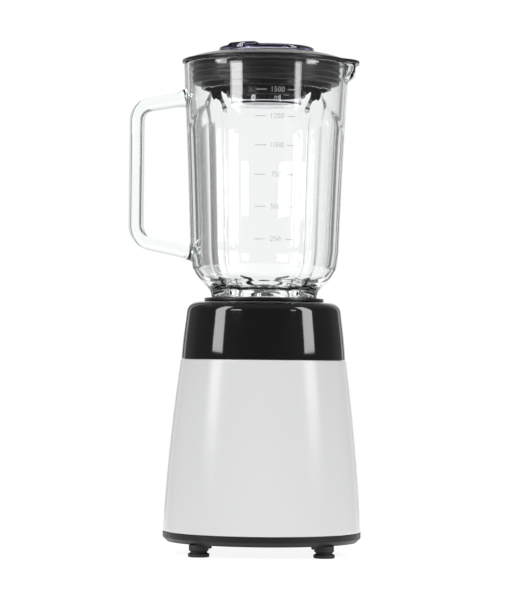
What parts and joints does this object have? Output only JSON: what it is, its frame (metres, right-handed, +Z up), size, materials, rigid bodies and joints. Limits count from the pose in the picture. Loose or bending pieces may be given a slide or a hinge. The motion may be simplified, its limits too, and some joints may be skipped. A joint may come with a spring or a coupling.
{
  "type": "countertop blender",
  "caption": "Countertop blender: round tapered motor base, lift-off glass jar with side handle and pouring spout, lid with lift-out measuring cup, cross blades and a speed knob.",
  "frame": {"origin": "on the table plane, on the vertical motor and blade axis", "axes": "+Z up, -Y towards the front with the speed knob, +X towards the jar's handle, -X towards the spout"},
  "size_m": [0.1941, 0.1786, 0.4188],
  "materials": {
    "white_shell": "smooth gloss",
    "black_gloss": "high gloss",
    "black_matte": "fine texture",
    "rubber_feet": "matte",
    "black_rubber": "matte",
    "zinc": "zinc plated",
    "grey_plastic": "satin",
    "bezel": "satin silver",
    "switch_body": "satin",
    "bracket_steel": "pressed sheet",
    "wire": "insulated",
    "stack_steel": "laminated",
    "copper_wire": "enamelled",
    "bearing_bronze": "sintered",
    "brass_parts": "satin",
    "carbon": "matte",
    "spring_steel": "drawn wire",
    "shaft_steel": "ground",
    "commutator_copper": "turned",
    "fan_plastic": "moulded",
    "coupling_rubber": "moulded",
    "knob_plastic": "satin",
    "pointer_white": "smooth",
    "jar_glass": "clear",
    "ring_plastic": "fine texture",
    "blade_base_metal": "spun",
    "clear_silicone": "translucent",
    "blade_steel": "ground",
    "lid_plastic": "satin gloss",
    "seal_rubber": "smooth",
    "clear_cup": "clear"
  },
  "bodies": {
    "base": {"base_shell": "white_shell", "collar": "black_gloss", "collar_screws": "zinc", "bottom_cover": "black_matte", "suction_feet": "rubber_feet", "cover_screws": "zinc", "cord_inlet": "black_rubber", "cord_clamp": "grey_plastic", "knob_bezel": "bezel", "rotary_switch": "switch_body", "switch_bracket": "bracket_steel", "switch_leads": "wire", "field_core": "stack_steel", "field_coils": "copper_wire", "upper_bracket": "bracket_steel", "lower_bracket": "bracket_steel", "upper_bearing": "bearing_bronze", "lower_bearing": "bearing_bronze", "motor_through_bolts": "zinc", "motor_dampers": "black_rubber", "motor_mount_screws": "zinc", "brush_holders": "brass_parts", "carbon_brushes": "carbon", "brush_springs": "spring_steel", "air_duct": "grey_plastic", "water_seal": "black_rubber"},
    "motor": {"motor_shaft": "shaft_steel", "armature_core": "stack_steel", "armature_windings": "copper_wire", "commutator": "commutator_copper", "cooling_fan": "fan_plastic", "drive_coupling": "coupling_rubber"},
    "knob": {"knob": "knob_plastic", "knob_pointer": "pointer_white", "switch_shaft": "fan_plastic"},
    "jar": {"glass_jar": "jar_glass", "jar_base_ring": "ring_plastic", "blade_base": "blade_base_metal", "jar_gasket": "clear_silicone", "shaft_bushing": "bearing_bronze", "shaft_seal": "black_rubber"},
    "blades": {"blade_shaft": "shaft_steel", "upper_blade": "blade_steel", "lower_blade": "blade_steel", "blade_spacer": "shaft_steel", "blade_nut": "blade_steel", "driven_coupling": "coupling_rubber"},
    "lid": {"lid": "lid_plastic", "lid_seal": "seal_rubber"},
    "cup": {"measuring_cup": "clear_cup"}
  },
  "joints": [
    {"name": "jar_lift", "type": "slide", "parent": "base", "child": "jar", "axis": [0, 0, 1], "range_m": [0, 0.12]},
    {"name": "lid_lift", "type": "slide", "parent": "jar", "child": "lid", "axis": [0, 0, 1], "range_m": [0, 0.06]},
    {"name": "cup_lift", "type": "slide", "parent": "lid", "child": "cup", "axis": [0, 0, 1], "range_m": [0, 0.07]},
    {"name": "motor_spin", "type": "hinge", "parent": "base", "child": "motor", "pos_m": [0, 0, 0.12], "axis": [0, 0, 1], "continuous": true},
    {"name": "blade_spin", "type": "hinge", "parent": "jar", "child": "blades", "pos_m": [0, 0, 0.21], "axis": [0, 0, 1], "continuous": true},
    {"name": "knob_turn", "type": "hinge", "parent": "base", "child": "knob", "pos_m": [0, -0.0812, 0.072], "axis": [0, -1, 0], "range_deg": [-90, 45]}
  ],
  "couplings": [
    {"joint": "blade_spin", "follows": "motor_spin", "ratio": 1}
  ]
}
